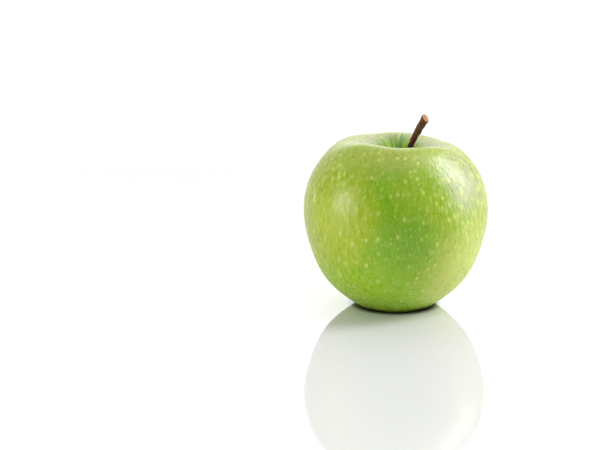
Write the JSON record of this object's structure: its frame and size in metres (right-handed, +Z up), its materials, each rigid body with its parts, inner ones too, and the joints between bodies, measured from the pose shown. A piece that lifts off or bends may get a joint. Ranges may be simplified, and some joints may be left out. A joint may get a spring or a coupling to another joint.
{
  "type": "green apple",
  "caption": "Whole green apple, broad at the shoulders and narrower at the base, with a leaning woody stem in its cavity and a dry calyx underneath; stands on its base.",
  "frame": {"origin": "on the surface that the apple stands on, under the middle of its outline", "axes": "+Z up along the core axis, from the calyx to the stem; the apple's front faces -Y, and the stem leans towards +X"},
  "size_m": [0.078, 0.0796, 0.0819],
  "materials": {
    "skin": "waxy green apple skin with pale lenticels, satin",
    "stem_bark": "rough brown bark with a pale cut end",
    "dry_sepal": "dry, dull, olive brown",
    "dry_stamen": "dry, dull, dark brown"
  },
  "bodies": {
    "root": {"fruit": "skin", "stem": "stem_bark", "calyx": "dry_sepal", "stamens": "dry_stamen"}
  },
  "joints": []
}
